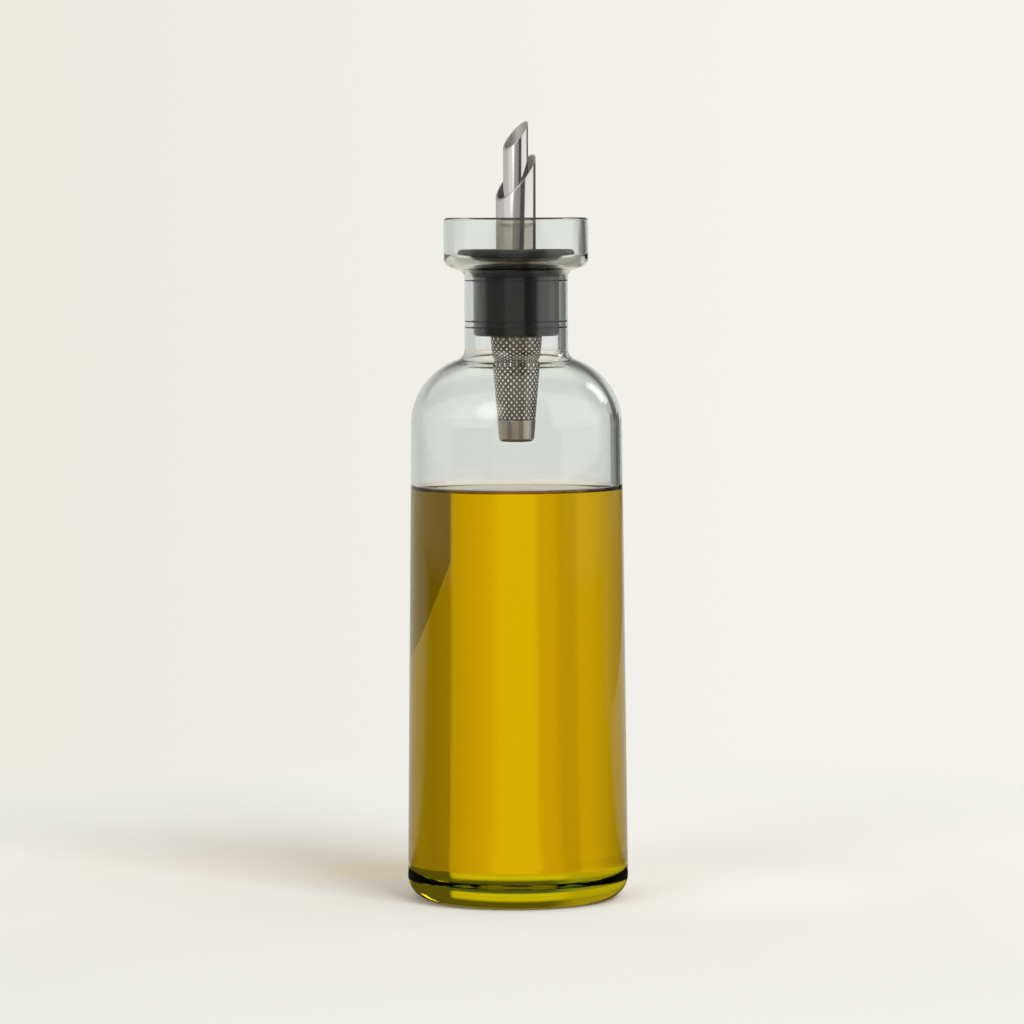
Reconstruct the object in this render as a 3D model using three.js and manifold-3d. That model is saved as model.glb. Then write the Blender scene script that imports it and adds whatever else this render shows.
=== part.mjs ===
// Oil and vinegar dispenser: a blown glass bottle whose mouth opens into a shallow catch cup, closed by a
// stopper that carries a slant-cut pour tube inside a wider drip tube, with a perforated strainer below.
// Millimetres, +Z up along the bottle's axis, origin at the centre of the base.
// The slanted mouths of the two tubes look towards -X, so their long tips are on the +X side.

import * as THREE from 'three';
import { mergeVertices } from 'three/addons/utils/BufferGeometryUtils.js';
import Module from 'manifold-3d';

// Tubes of the pourer
const pourTubeRadius = 3.75;
const tubeWall = 0.5;
const drainGap = 1.75;
const lipAngle = THREE.MathUtils.degToRad(49);
const pourTubeRise = 34.0;
const pourTubeDrop = 8.5;
const dripTubeRise = 21.5;
const tubeClearance = 0.1;

// Stopper core: a drip disc over a stem that holds the tubes and, below its web, the strainer
const stemWall = 4.5;
const dripSeatDepth = 12.2;
const webThickness = 2.5;
const ventCount = 6;
const ventMargin = 0.25;
const discCupGap = 2.1;
const discEdgeRadius = 1.35;
const discConeAngle = THREE.MathUtils.degToRad(20);
const discConeRise = 1.38;
const retainingLip = 0.8;
const retainingLipHeight = 1.2;
const retainingLipChamfer = 0.4;

// Seal sleeve between the stem and the neck
const turnClearance = 0.2;
const sleeveFootWall = 1.25;
const sleeveFootRadius = 1.0;
const ribHeight = 0.5;
const ribFlank = 0.3;
const lowerRibWidth = 2.1;
const lowerRibOffset = 2.3;
const upperRibDrop = 1.4;
const sealClearance = 0.15;
const seatClearance = 0.3;
const flangeOverhang = 0.6;
const flangeChamfer = 0.3;
const flangeTopDrop = 0.1;

// Strainer: a perforated cone of sheet with a plain collar above and a plain thimble closing its tip
const sheetThickness = 0.3;
const socketWall = 2.5;
const socketClearance = 0.2;
const collarLength = 5.7;
const collarHeadroom = 5.5;
const collarStep = 0.4;
const strainerTaper = 2.1;
const strainerLength = 25.4;
const perforationColumns = 24;
const perforationPitch = 2.25;
const perforationMargin = 0.7;
const perforationRadius = 0.42;
const punchTipDepth = 3.0;
const thimbleDepth = 6.3;
const thimbleCorner = 1.3;
const thimbleLap = 1.9;
const thimbleClearance = 0.1;

// Bottle
const glassWall = 2.0;
const bodyWall = 2.5;
const floorThickness = 4.8;
const baseRadius = 33.2;
const baseCornerRadius = 7.0;
const innerCornerRadius = 4.5;
const standRingWidth = 4.7;
const puntSlope = 2.0;
const puntRise = 0.8;
const bodyTaper = 1.5;
const bodyHeight = 142.5;
const shoulderArcRadius = 21.0;
const neckFilletRadius = 3.0;
const neckLength = 21.8;
const cupFilletRadius = 2.0;
const cupCornerRadius = 3.0;
const cupFloorRun = 1.2;
const cupHeight = 15.7;

// Oil in the bottle
const oilClearance = 0.3;
const oilHeadroom = 13.9;

// Facets
const glassSegments = 36;
const stopperSegments = 32;
const ventSegments = 8;
const perforationSides = 4;
const facetTolerance = 0.1;
const weldDistance = 1e-5;

// Radii of the stopper and the neck, from the pour tube outwards
const dripTubeRadius = pourTubeRadius + drainGap + tubeWall;
const dripSeatRadius = dripTubeRadius + tubeClearance;
const pourHoleRadius = pourTubeRadius + tubeClearance;
const stemRadius = dripSeatRadius + stemWall;
const retainingLipRadius = stemRadius + retainingLip;
const sleeveBore = stemRadius + turnClearance;
const sleeveRecess = retainingLipRadius + turnClearance;
const sleeveRadius = sleeveRecess + sleeveFootWall;
const ribRadius = sleeveRadius + ribHeight;
const neckBore = ribRadius + sealClearance;
const neckRadius = neckBore + glassWall;
const flangeRadius = neckBore + flangeOverhang;
const socketRadius = stemRadius - socketWall;
const collarRadius = socketRadius - socketClearance;
const strainerTopRadius = collarRadius - collarStep;

// The lip is the rounded inner edge from the cup's floor into the neck. From it the floor runs flat to the
// cup's corner.
const lipRadius = cupFilletRadius + glassWall;
const lipCentre = neckBore + lipRadius;
const cupCornerCentre = lipCentre + cupFloorRun;
const cupRadius = cupCornerCentre + cupCornerRadius;
const discRadius = cupRadius - glassWall - discCupGap;

// Heights of the bottle. The shoulder arc and the neck fillet touch at the angle shoulderSweep outside and
// at innerSweep inside, where the wall gets thicker from the neck to the body.
const shoulderRadius = baseRadius - bodyTaper;
const shoulderCentre = shoulderRadius - shoulderArcRadius;
const neckFilletCentre = neckRadius + neckFilletRadius;
const neckFilletOffset = neckFilletCentre - shoulderCentre;
const shoulderRise = Math.sqrt((shoulderArcRadius + neckFilletRadius) ** 2 - neckFilletOffset ** 2);
const shoulderSweep = Math.atan2(shoulderRise, neckFilletOffset);
const neckFoot = bodyHeight + shoulderRise;
const innerShoulderRadius = shoulderArcRadius - bodyWall;
const innerFilletRadius = neckFilletRadius + glassWall;
const innerRise = Math.sqrt((innerShoulderRadius + innerFilletRadius) ** 2 - neckFilletOffset ** 2);
const innerSweep = Math.atan2(innerRise, neckFilletOffset);
const neckTop = neckFoot + neckLength;
const cupUnderside = neckTop + cupFilletRadius;
const cupFloor = cupUnderside + glassWall;
const rimHeight = cupUnderside + cupHeight;

// Heights of the stopper above the cup's floor, where it is seated
const sleeveTop = -flangeTopDrop;
const discFoot = sleeveTop + seatClearance;
const discTop = discFoot + discConeRise + discEdgeRadius * (1 + Math.cos(discConeAngle));
const webTop = discTop - dripSeatDepth;
const webBottom = webTop - webThickness;
const stemBottom = webBottom - collarLength - collarHeadroom;

// Heights of the strainer, from the stem's bottom, and of the oil below it
const thimbleRim = -strainerLength;
const thimbleBottom = thimbleRim - thimbleDepth;
const oilLevel = cupFloor + stemBottom + thimbleBottom - oilHeadroom;

// Directions in a profile, where the first coordinate is the radius and the second the height
const DOWN = -Math.PI / 2;
const OUT = 0;
const UP = Math.PI / 2;
const IN = Math.PI;

const wasm = await Module();
wasm.setup();

function at(radius, height) {
  return new THREE.Vector2(radius, height);
}

function arc(centre, height, radius, from, to) {
  const step = 2 * Math.acos(1 - facetTolerance / Math.max(radius, facetTolerance));
  const steps = Math.max(2, Math.ceil(Math.abs(to - from) / step));
  return new THREE.EllipseCurve(centre, height, radius, radius, from, to, to < from).getPoints(steps);
}

// A profile runs anticlockwise: outwards along the bottom, up the outside, and back down the inside.
function revolve(profile, segments) {
  const outline = profile.filter((point, i) => i === 0 || point.distanceTo(profile[i - 1]) > weldDistance);
  return new THREE.LatheGeometry(outline, segments).rotateX(Math.PI / 2);
}

function revolveRing(profile, segments) {
  return revolve([...profile, profile[0].clone()], segments);
}

function solid(geometry) {
  const bare = geometry.clone();
  bare.deleteAttribute('normal');
  bare.deleteAttribute('uv');
  const merged = mergeVertices(bare, weldDistance);
  const corners = merged.index.array;
  const triangles = [];
  for (let i = 0; i < corners.length; i += 3) {
    const [a, b, c] = corners.slice(i, i + 3);
    if (a !== b && b !== c && c !== a) {
      triangles.push(a, b, c);
    }
  }
  return new wasm.Manifold(new wasm.Mesh({
    numProp: 3,
    vertProperties: new Float32Array(merged.attributes.position.array),
    triVerts: new Uint32Array(triangles),
  }));
}

function toGeometry(manifold) {
  const mesh = manifold.getMesh();
  const geometry = new THREE.BufferGeometry();
  geometry.setAttribute('position', new THREE.BufferAttribute(mesh.vertProperties, 3));
  geometry.setIndex(new THREE.BufferAttribute(mesh.triVerts, 1));
  geometry.computeVertexNormals();
  return geometry;
}

// Radius of the bottle's inner wall on the straight, slightly tapered side
function innerWallRadius(height) {
  const foot = floorThickness + innerCornerRadius;
  const rise = (height - foot) / (bodyHeight - foot);
  return baseRadius - bodyWall - bodyTaper * rise;
}

function bottleGeometry() {
  const standRingInner = baseRadius - baseCornerRadius - standRingWidth;
  const innerCornerCentre = baseRadius - bodyWall - innerCornerRadius;
  const cupCornerHeight = cupUnderside + cupCornerRadius;
  const rimRadius = glassWall / 2;
  return revolve([
    at(0, puntRise),
    at(standRingInner - puntSlope, puntRise),
    at(standRingInner, 0),
    ...arc(baseRadius - baseCornerRadius, baseCornerRadius, baseCornerRadius, DOWN, OUT),
    ...arc(shoulderCentre, bodyHeight, shoulderArcRadius, OUT, shoulderSweep),
    ...arc(neckFilletCentre, neckFoot, neckFilletRadius, shoulderSweep + Math.PI, IN),
    ...arc(lipCentre, neckTop, cupFilletRadius, IN, UP),
    ...arc(cupCornerCentre, cupCornerHeight, cupCornerRadius, DOWN, OUT),
    ...arc(cupRadius - rimRadius, rimHeight - rimRadius, rimRadius, OUT, IN),
    ...arc(cupCornerCentre, cupCornerHeight, cupCornerRadius - glassWall, OUT, DOWN),
    ...arc(lipCentre, neckTop, lipRadius, UP, IN),
    ...arc(neckFilletCentre, bodyHeight + innerRise, innerFilletRadius, IN, innerSweep + Math.PI),
    ...arc(shoulderCentre, bodyHeight, innerShoulderRadius, innerSweep, OUT),
    ...arc(innerCornerCentre, floorThickness + innerCornerRadius, innerCornerRadius, OUT, DOWN),
    at(0, floorThickness),
  ], glassSegments);
}

function oilGeometry() {
  const cornerCentre = baseRadius - bodyWall - innerCornerRadius;
  const cornerHeight = floorThickness + innerCornerRadius;
  return revolve([
    at(0, floorThickness + oilClearance),
    ...arc(cornerCentre, cornerHeight, innerCornerRadius - oilClearance, DOWN, OUT),
    at(innerWallRadius(oilLevel) - oilClearance, oilLevel),
    at(0, oilLevel),
  ], glassSegments);
}

// Drip disc with a full round edge and a conical underside, on a hollow stem. The web across the stem
// carries the pour tube and has a ring of vents that let drips and air back into the bottle.
function stopperCoreGeometry() {
  const edgeCentre = discRadius - discEdgeRadius;
  const edgeStart = discConeAngle + DOWN;
  const coneTopRadius = edgeCentre + discEdgeRadius * Math.cos(edgeStart);
  const footRadius = coneTopRadius - discConeRise / Math.tan(discConeAngle);
  const body = solid(revolveRing([
    at(pourHoleRadius, webBottom),
    at(socketRadius, webBottom),
    at(socketRadius, stemBottom),
    at(retainingLipRadius - retainingLipChamfer, stemBottom),
    at(retainingLipRadius, stemBottom + retainingLipChamfer),
    at(retainingLipRadius, stemBottom + retainingLipHeight),
    at(stemRadius, stemBottom + retainingLipHeight),
    at(stemRadius, discFoot),
    at(footRadius, discFoot),
    ...arc(edgeCentre, discTop - discEdgeRadius, discEdgeRadius, edgeStart, UP),
    at(dripSeatRadius, discTop),
    at(dripSeatRadius, webTop),
    at(pourHoleRadius, webTop),
  ], stopperSegments));

  const annulusOuter = dripTubeRadius - tubeWall;
  const ventRadius = (annulusOuter - pourHoleRadius) / 2 - ventMargin;
  const ventCircle = (annulusOuter + pourHoleRadius) / 2;
  const vents = [];
  for (let i = 0; i < ventCount; i += 1) {
    const vent = new THREE.CylinderGeometry(ventRadius, ventRadius, 2 * webThickness, ventSegments)
      .rotateX(Math.PI / 2)
      .translate(ventCircle, 0, (webTop + webBottom) / 2)
      .rotateZ(i * 2 * Math.PI / ventCount);
    vents.push(solid(vent));
  }
  return toGeometry(body.subtract(wasm.Manifold.union(vents)));
}

// Moulded sleeve with two sealing ribs. The upper rib runs into a flange whose underside follows the
// bottle's lip.
function sealSleeveGeometry() {
  const footRadius = Math.min(sleeveFootRadius, sleeveFootWall);
  const lowerRib = stemBottom + lowerRibOffset;
  const lowerRibTop = lowerRib + lowerRibWidth;
  const upperRib = -lipRadius - upperRibDrop;
  const recessTop = stemBottom + retainingLipHeight + turnClearance;
  const seatRadius = lipRadius + seatClearance;
  const seatStart = Math.acos((ribRadius - lipCentre) / seatRadius);
  const seatEnd = Math.acos((flangeRadius - lipCentre) / seatRadius);
  return revolveRing([
    at(sleeveRecess, stemBottom),
    ...arc(sleeveRadius - footRadius, stemBottom + footRadius, footRadius, DOWN, OUT),
    at(sleeveRadius, lowerRib),
    at(ribRadius, lowerRib + ribFlank),
    at(ribRadius, lowerRibTop - ribFlank),
    at(sleeveRadius, lowerRibTop),
    at(sleeveRadius, upperRib),
    at(ribRadius, upperRib + ribFlank),
    ...arc(lipCentre, -lipRadius, seatRadius, seatStart, seatEnd),
    at(flangeRadius, sleeveTop - flangeChamfer),
    at(flangeRadius - flangeChamfer, sleeveTop),
    at(sleeveBore, sleeveTop),
    at(sleeveBore, recessTop),
    at(sleeveRecess, recessTop),
  ], stopperSegments);
}

// Tube cut off at the slant of the pouring lip, at cutHeight on its axis
function slantTubeGeometry(radius, bottom, cutHeight) {
  const top = cutHeight + 2 * radius * Math.tan(lipAngle);
  const tube = solid(revolveRing([
    at(radius - tubeWall, bottom),
    at(radius, bottom),
    at(radius, top),
    at(radius - tubeWall, top),
  ], stopperSegments));
  const reach = 2 * (top - bottom);
  const waste = new THREE.BoxGeometry(reach, reach, reach)
    .translate(0, 0, reach / 2)
    .rotateY(-lipAngle)
    .translate(0, 0, cutHeight);
  return toGeometry(tube.subtract(solid(waste)));
}

// Outer radius of the strainer's cone at a height from the stem's bottom
function strainerRadius(height) {
  return strainerTopRadius + strainerTaper * height / strainerLength;
}

// Sheet cone with a column of punched holes in each facet, every second column staggered by half a pitch.
// The punch tapers to a point below the sheet, so the holes are a little narrower inside.
function strainerSleeveGeometry() {
  const end = thimbleRim - thimbleLap;
  const sheet = solid(revolveRing([
    at(strainerRadius(end) - sheetThickness, end),
    at(strainerRadius(end), end),
    at(strainerTopRadius, 0),
    at(collarRadius, collarStep),
    at(collarRadius, collarLength),
    at(collarRadius - sheetThickness, collarLength),
    at(collarRadius - sheetThickness, collarStep),
    at(strainerTopRadius - sheetThickness, 0),
  ], perforationColumns));

  const facetShare = Math.cos(Math.PI / perforationColumns);
  const facetTilt = Math.atan(facetShare * strainerTaper / strainerLength);
  const stagger = perforationPitch / 2;
  const punchLength = sheetThickness + punchTipDepth;
  const punchRadius = perforationRadius * punchLength / punchTipDepth;
  const rows = Math.floor((strainerLength - stagger - 2 * perforationMargin) / perforationPitch) + 1;
  const holes = [];
  for (let column = 0; column < perforationColumns; column += 1) {
    const turn = (column + 0.5) * 2 * Math.PI / perforationColumns;
    for (let row = 0; row < rows; row += 1) {
      const height = -perforationMargin - row * perforationPitch - (column % 2) * stagger;
      const hole = new THREE.ConeGeometry(punchRadius, punchLength, perforationSides)
        .translate(0, punchLength / 2 - sheetThickness, 0)
        .rotateZ(Math.PI / 2)
        .rotateY(facetTilt)
        .translate(strainerRadius(height) * facetShare, 0, height)
        .rotateZ(turn);
      holes.push(solid(hole));
    }
  }
  return toGeometry(sheet.subtract(wasm.Manifold.union(holes)));
}

// Plain drawn thimble that slips over the cone's end
function strainerCupGeometry() {
  const fit = thimbleClearance + sheetThickness;
  const cornerHeight = thimbleBottom + thimbleCorner;
  const cornerCentre = strainerRadius(cornerHeight) + fit - thimbleCorner;
  return revolve([
    at(0, thimbleBottom),
    ...arc(cornerCentre, cornerHeight, thimbleCorner, DOWN, OUT),
    at(strainerRadius(thimbleRim) + fit, thimbleRim),
    at(strainerRadius(thimbleRim) + thimbleClearance, thimbleRim),
    ...arc(cornerCentre, cornerHeight, thimbleCorner - sheetThickness, OUT, DOWN),
    at(0, thimbleBottom + sheetThickness),
  ], perforationColumns);
}

const smokedGlass = new THREE.MeshStandardMaterial({
  color: 0xc9d2cf, roughness: 0.03, metalness: 0, transparent: true, opacity: 0.35,
});
const oliveOil = new THREE.MeshStandardMaterial({
  color: 0xc99a06, roughness: 0.05, metalness: 0, transparent: true, opacity: 0.85,
});
const greyPlastic = new THREE.MeshStandardMaterial({ color: 0x35363a, roughness: 0.45, metalness: 0 });
const darkSilicone = new THREE.MeshStandardMaterial({ color: 0x3a3c3d, roughness: 0.6, metalness: 0 });
const tubeSteel = new THREE.MeshStandardMaterial({ color: 0xc8c4c4, roughness: 0.25, metalness: 1 });
const strainerSteel = new THREE.MeshStandardMaterial({ color: 0xaaa79f, roughness: 0.3, metalness: 1 });

function piece(name, geometry, material) {
  const mesh = new THREE.Mesh(geometry, material);
  mesh.name = name;
  return mesh;
}

const strainer = new THREE.Group();
strainer.position.z = stemBottom;
strainer.add(
  piece('strainer_sleeve', strainerSleeveGeometry(), strainerSteel),
  piece('strainer_cup', strainerCupGeometry(), strainerSteel.clone()),
);

const dripTube = slantTubeGeometry(dripTubeRadius, webTop + tubeClearance, discTop + dripTubeRise);
const pourTube = slantTubeGeometry(pourTubeRadius, webBottom - pourTubeDrop, discTop + pourTubeRise);

const stopper = new THREE.Group();
stopper.position.z = cupFloor;
stopper.add(
  piece('seal_sleeve', sealSleeveGeometry(), darkSilicone),
  piece('stopper_core', stopperCoreGeometry(), greyPlastic),
  piece('drip_tube', dripTube, tubeSteel),
  piece('pour_tube', pourTube, tubeSteel.clone()),
  strainer,
);

const dispenser = new THREE.Group();
dispenser.add(
  piece('bottle', bottleGeometry(), smokedGlass),
  piece('oil_fill', oilGeometry(), oliveOil),
  stopper,
);

export default dispenser;
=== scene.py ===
import math

import bpy
from mathutils import Euler, Matrix, Vector


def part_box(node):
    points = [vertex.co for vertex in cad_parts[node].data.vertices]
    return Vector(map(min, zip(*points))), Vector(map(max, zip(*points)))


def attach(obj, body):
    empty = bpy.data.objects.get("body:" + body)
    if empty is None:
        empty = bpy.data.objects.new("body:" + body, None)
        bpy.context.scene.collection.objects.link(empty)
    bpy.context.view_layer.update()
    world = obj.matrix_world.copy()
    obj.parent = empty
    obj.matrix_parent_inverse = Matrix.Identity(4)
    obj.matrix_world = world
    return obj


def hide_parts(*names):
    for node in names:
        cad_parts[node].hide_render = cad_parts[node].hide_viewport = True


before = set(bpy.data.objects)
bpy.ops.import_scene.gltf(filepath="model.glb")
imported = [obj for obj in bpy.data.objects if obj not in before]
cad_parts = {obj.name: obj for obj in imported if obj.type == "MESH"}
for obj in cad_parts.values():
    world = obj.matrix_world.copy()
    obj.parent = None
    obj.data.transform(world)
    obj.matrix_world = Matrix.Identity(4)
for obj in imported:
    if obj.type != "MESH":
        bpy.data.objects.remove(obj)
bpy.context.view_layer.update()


# Bottle: one piece of blown borosilicate glass, tinted a light smoke grey. The base is thick with a shallow
# kick-up, the shoulder is round, and the straight neck opens into a catch cup with a fire-polished rim.
mm = 0.001
bottle_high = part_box("bottle")[1]
oil_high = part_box("oil_fill")[1]
base_radius = bottle_high.x
rim_height = bottle_high.z
glass_wall = 2.0 * mm
body_wall = 2.5 * mm
floor_thickness = 4.8 * mm
base_corner = 7.0 * mm
inner_corner = 4.5 * mm
stand_ring_width = 4.7 * mm
kick_slope = 2.0 * mm
kick_rise = 0.8 * mm
body_taper = 1.5 * mm
body_height = 142.5 * mm
shoulder_arc = 21.0 * mm
neck_bore = 13.5 * mm
neck_fillet = 3.0 * mm
cup_fillet = 2.0 * mm
cup_corner = 3.0 * mm
cup_floor_run = 1.2 * mm
cup_funnel = math.radians(18)
bowl_ease = 2.0 * mm
cup_height = 15.7 * mm
meniscus = 1.5 * mm
fill_shortfall = 0.5 * mm
oil_level = oil_high.z - fill_shortfall
wet_height = oil_level + meniscus

base_corner_centre = base_radius - base_corner
inner_corner_centre = base_radius - body_wall - inner_corner
inner_corner_height = floor_thickness + inner_corner
stand_ring = base_corner_centre - stand_ring_width
neck_radius = neck_bore + glass_wall
shoulder_radius = base_radius - body_taper
shoulder_centre = shoulder_radius - shoulder_arc
fillet_centre = neck_radius + neck_fillet
shoulder_rise = math.sqrt((shoulder_arc + neck_fillet) ** 2 - (fillet_centre - shoulder_centre) ** 2)
shoulder_sweep = math.degrees(math.atan2(shoulder_rise, fillet_centre - shoulder_centre))
neck_foot = body_height + shoulder_rise
thickening = (body_wall - glass_wall) / 2
inner_shoulder = shoulder_arc - glass_wall - thickening
inner_shoulder_centre = shoulder_centre - thickening
inner_shoulder_height = body_height + thickening
inner_fillet = neck_fillet + glass_wall
inner_offset = fillet_centre - inner_shoulder_centre
inner_rise = math.sqrt((inner_shoulder + inner_fillet) ** 2 - inner_offset ** 2)
inner_sweep = math.degrees(math.atan2(inner_rise, inner_offset))
inner_foot = inner_shoulder_height + inner_rise
cup_underside = rim_height - cup_height
neck_top = cup_underside - cup_fillet
lip_arc = cup_fillet + glass_wall
lip_centre = neck_radius + cup_fillet
cup_turn = 90 - math.degrees(cup_funnel)
cup_floor_turn = (cup_fillet + cup_corner) / math.cos(cup_funnel)
cup_corner_height = neck_top + cup_floor_turn + cup_floor_run * math.tan(cup_funnel)
cup_corner_centre = lip_centre + cup_floor_run
cup_radius = cup_corner_centre + cup_corner
bowl_centre = cup_corner_centre - bowl_ease
bowl_height = cup_corner_height + bowl_ease * (1 - math.sin(cup_funnel)) / math.cos(cup_funnel)
rim_arc = glass_wall / 2

glass_steps = 192
weld = 0.002 * mm
smooth_limit = math.radians(40)
floor_slack = 0.1 * mm


def inner_wall(height):
    """The radius of the body's bore at a height above the inner corner."""
    share = (height - inner_corner_height) / (body_height - inner_corner_height)
    return base_radius - body_wall - body_taper * share


def turned(name, outline, around, arc_step=6):
    """A piece turned about the Z axis. Each run of its outline is a point (radius, height) to go straight to,
    or an arc (centre radius, centre height, degrees), anticlockwise from where the outline has got to."""
    bpy.ops.object.select_all(action="DESELECT")
    bpy.ops.mesh.primitive_plane_add(size=mm)
    piece = bpy.context.object
    piece.name = name
    piece.data.name = name
    bpy.ops.object.mode_set(mode="EDIT")
    bpy.ops.mesh.merge(type="CENTER")
    pen = Vector((outline[0][0], 0, outline[0][1]))
    bpy.ops.transform.translate(value=pen)
    for run in outline[1:]:
        corner = Vector((run[0], 0, run[1]))
        if len(run) == 2:
            bpy.ops.mesh.extrude_region_move(TRANSFORM_OT_translate={"value": corner - pen})
            pen = corner
        else:
            sweep = math.radians(run[2])
            steps = max(2, round(abs(run[2]) / arc_step))
            bpy.ops.mesh.spin(steps=steps, angle=sweep, center=corner, axis=(0, 1, 0))
            pen = corner + Matrix.Rotation(sweep, 3, (0, -1, 0)) @ (pen - corner)
    bpy.ops.mesh.select_all(action="SELECT")
    bpy.ops.mesh.spin(steps=around, angle=math.tau, center=(0, 0, 0), axis=(0, 0, 1))
    bpy.ops.mesh.select_all(action="SELECT")
    bpy.ops.mesh.remove_doubles(threshold=weld)
    bpy.ops.mesh.normals_make_consistent(inside=False)
    bpy.ops.object.mode_set(mode="OBJECT")
    bpy.ops.object.shade_smooth_by_angle(angle=smooth_limit)
    return piece


def weigh_normals(piece):
    """Lets the large faces set the normals, so that light bends on a straight wall as on a straight wall."""
    bpy.context.view_layer.objects.active = piece
    bpy.ops.object.modifier_add(type="WEIGHTED_NORMAL")
    piece.modifiers["WeightedNormal"].keep_sharp = True
    bpy.ops.object.modifier_apply(modifier="WeightedNormal")


def linear(hex_colour):
    """An sRGB hex colour as linear red, green, blue and alpha."""
    channels = [int(hex_colour[i:i + 2], 16) / 255 for i in (1, 3, 5)]
    levels = [c / 12.92 if c <= 0.04045 else ((c + 0.055) / 1.055) ** 2.4 for c in channels]
    return (*levels, 1.0)


def node(tree, kind, settings=None, inputs=None):
    """Adds a node. An input is a number or colour for its socket, or a socket of another node to link."""
    added = tree.nodes.new(kind)
    for name, value in (settings or {}).items():
        setattr(added, name, value)
    for name, value in (inputs or {}).items():
        if isinstance(value, bpy.types.NodeSocket):
            tree.links.new(value, added.inputs[name])
        else:
            added.inputs[name].default_value = value
    return added


def new_material(name):
    """An empty material and its node tree."""
    material = bpy.data.materials.new(name)
    material.use_nodes = True
    material.node_tree.nodes.clear()
    return material, material.node_tree


bottle = turned("bottle_glass", [
    (0, kick_rise),
    (stand_ring - kick_slope, kick_rise),
    (stand_ring, 0),
    (base_corner_centre, 0),
    (base_corner_centre, base_corner, 90),
    (shoulder_radius, body_height),
    (shoulder_centre, body_height, shoulder_sweep),
    (fillet_centre, neck_foot, -shoulder_sweep),
    (neck_radius, neck_top),
    (lip_centre, neck_top, -cup_turn),
    (cup_corner_centre + cup_corner * math.sin(cup_funnel),
     cup_corner_height - cup_corner * math.cos(cup_funnel)),
    (cup_corner_centre, cup_corner_height, cup_turn),
    (cup_radius, rim_height - rim_arc),
    (cup_radius - rim_arc, rim_height - rim_arc, 180),
    (cup_radius - glass_wall, bowl_height),
    (bowl_centre, bowl_height, -cup_turn),
    (lip_centre - lip_arc * math.sin(cup_funnel), neck_top + lip_arc * math.cos(cup_funnel)),
    (lip_centre, neck_top, cup_turn),
    (neck_bore, inner_foot),
    (fillet_centre, inner_foot, inner_sweep),
    (inner_shoulder_centre, inner_shoulder_height, -inner_sweep),
    (inner_wall(wet_height), wet_height),
    (base_radius - body_wall, inner_corner_height),
    (inner_corner_centre, inner_corner_height, -90),
    (0, floor_thickness),
], around=glass_steps)
weigh_normals(bottle)

# Where oil wets the glass the two refract alike, so those faces are marked and bend no light.
wetted = bottle.data.attributes.new("wetted", "FLOAT", "FACE")
for face in bottle.data.polygons:
    inside = face.center.xy.length < inner_wall(face.center.z) + body_wall / 2
    below = floor_thickness - floor_slack < face.center.z < wet_height
    wetted.data[face.index].value = 1.0 if inside and below else 0.0

# Smoke-tinted borosilicate: clear and hard-edged, with a grey-green cast that deepens where the wall is
# seen edge-on, and the slight waviness of blown glass, a few centimetres long.
refraction = 1.47
wave_length = 30 * mm
smoked_glass, tree = new_material("smoked borosilicate glass")
place = node(tree, "ShaderNodeTexCoord")
waviness = node(tree, "ShaderNodeTexNoise", {}, {
    "Vector": place.outputs["Object"], "Scale": 1 / wave_length, "Detail": 1.0})
wavy = node(tree, "ShaderNodeBump", {}, {
    "Height": waviness.outputs["Fac"], "Strength": 0.04, "Distance": 0.4 * mm})
wet = node(tree, "ShaderNodeAttribute", {"attribute_name": "wetted"})
bend = node(tree, "ShaderNodeMath", {"operation": "MULTIPLY_ADD"}, {
    0: wet.outputs["Fac"], 1: 1 - refraction, 2: refraction})
clear = node(tree, "ShaderNodeBsdfPrincipled", {}, {
    "Base Color": (1, 1, 1, 1), "Roughness": 0.0, "Transmission Weight": 1.0,
    "IOR": bend.outputs[0], "Normal": wavy.outputs["Normal"]})
clear.inputs["IOR"].default_value = refraction
smoke = node(tree, "ShaderNodeVolumeAbsorption", {}, {"Color": linear("#BCE1CF"), "Density": 40.0})
node(tree, "ShaderNodeOutputMaterial", {}, {
    "Surface": clear.outputs["BSDF"], "Volume": smoke.outputs["Volume"]})
bottle.data.materials.append(smoked_glass)
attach(bottle, "bottle")
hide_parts("bottle")


# Oil: olive oil, poured in through the neck to about three quarters of the body. It stands a hair off the
# glass, and at its surface it climbs the wall in a meniscus.
film = 0.05 * mm
oil_edge = inner_wall(wet_height) - film
oil = turned("olive_oil", [
    (0, floor_thickness + film),
    (inner_corner_centre, floor_thickness + film),
    (inner_corner_centre, inner_corner_height, 90),
    (oil_edge, wet_height),
    (oil_edge - meniscus, wet_height, -90),
    (0, oil_level),
], around=glass_steps)
weigh_normals(oil)

# Only the open surface bends light, so its faces are marked.
top = oil.data.attributes.new("open_top", "FLOAT", "FACE")
for face in oil.data.polygons:
    top.data[face.index].value = 1.0 if face.center.z > oil_level - film and face.normal.z > 0 else 0.0

# Olive oil: a clear liquid that swallows blue light and some green, so a bottle's width of it is deep gold.
olive_oil, tree = new_material("olive oil")
top_face = node(tree, "ShaderNodeAttribute", {"attribute_name": "open_top"})
bend = node(tree, "ShaderNodeMath", {"operation": "MULTIPLY_ADD"}, {
    0: top_face.outputs["Fac"], 1: refraction - 1, 2: 1.0})
liquid = node(tree, "ShaderNodeBsdfPrincipled", {}, {
    "Base Color": (1, 1, 1, 1), "Roughness": 0.0, "Transmission Weight": 1.0, "IOR": bend.outputs[0]})
liquid.inputs["IOR"].default_value = refraction
gold = node(tree, "ShaderNodeVolumeAbsorption", {}, {"Color": linear("#FEF834"), "Density": 145.0})
node(tree, "ShaderNodeOutputMaterial", {}, {
    "Surface": liquid.outputs["BSDF"], "Volume": gold.outputs["Volume"]})
oil.data.materials.append(olive_oil)
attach(oil, "bottle")
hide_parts("oil_fill")


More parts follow.
